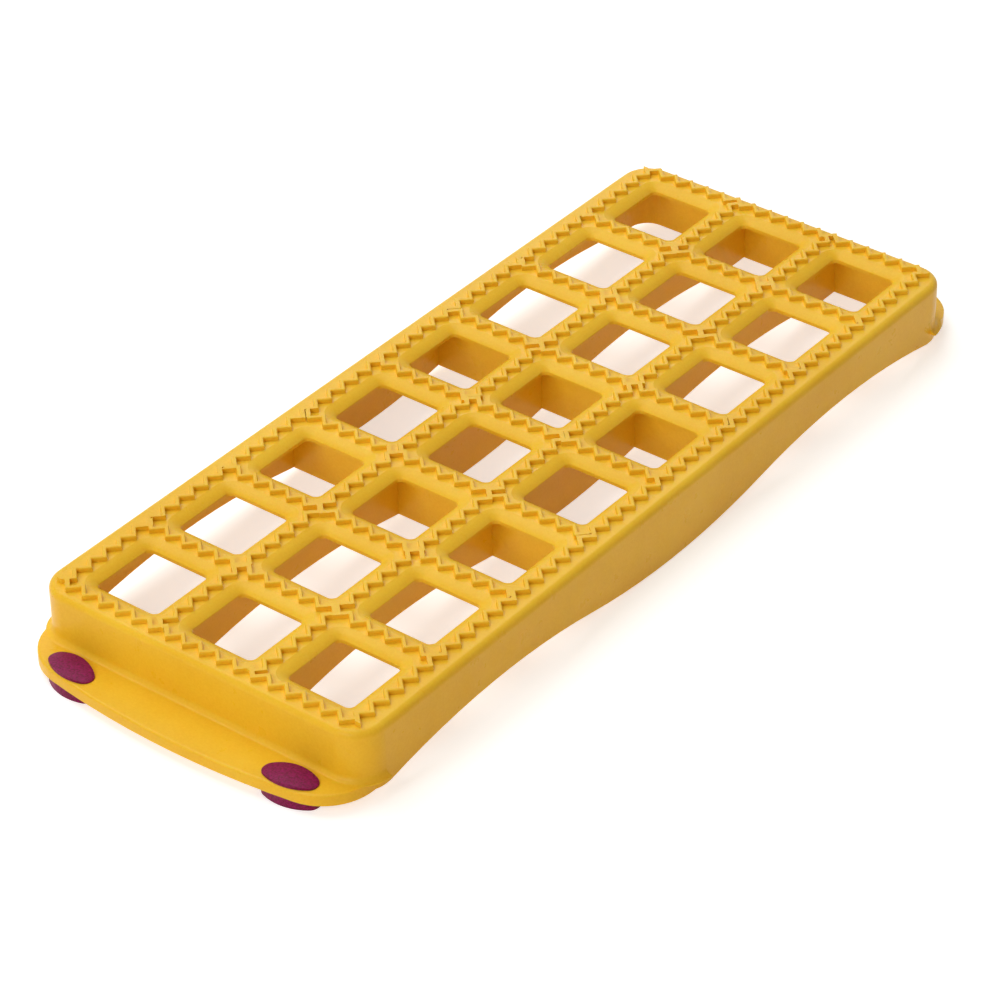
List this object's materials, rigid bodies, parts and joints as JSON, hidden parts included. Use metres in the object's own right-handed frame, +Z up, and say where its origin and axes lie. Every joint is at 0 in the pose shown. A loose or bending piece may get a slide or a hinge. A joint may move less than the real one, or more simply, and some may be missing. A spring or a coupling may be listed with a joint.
{
  "type": "ravioli mold",
  "caption": "Long one-piece moulded tray of square open cells with zigzag cutting ridges, bowed end flanges and soft rubber feet, for cutting filled pasta.",
  "frame": {"origin": "middle of the mould's footprint, on the surface that the feet stand on", "axes": "+Z up, +Y along the length towards the rear end, +X across the width to the right"},
  "size_m": [0.126, 0.329, 0.0252],
  "materials": {
    "body_plastic": "satin, fine texture",
    "foot_rubber": "satin"
  },
  "bodies": {
    "root": {"mould_body": "body_plastic", "foot_front_left": "foot_rubber", "foot_front_right": "foot_rubber", "foot_rear_left": "foot_rubber", "foot_rear_right": "foot_rubber"}
  },
  "joints": []
}
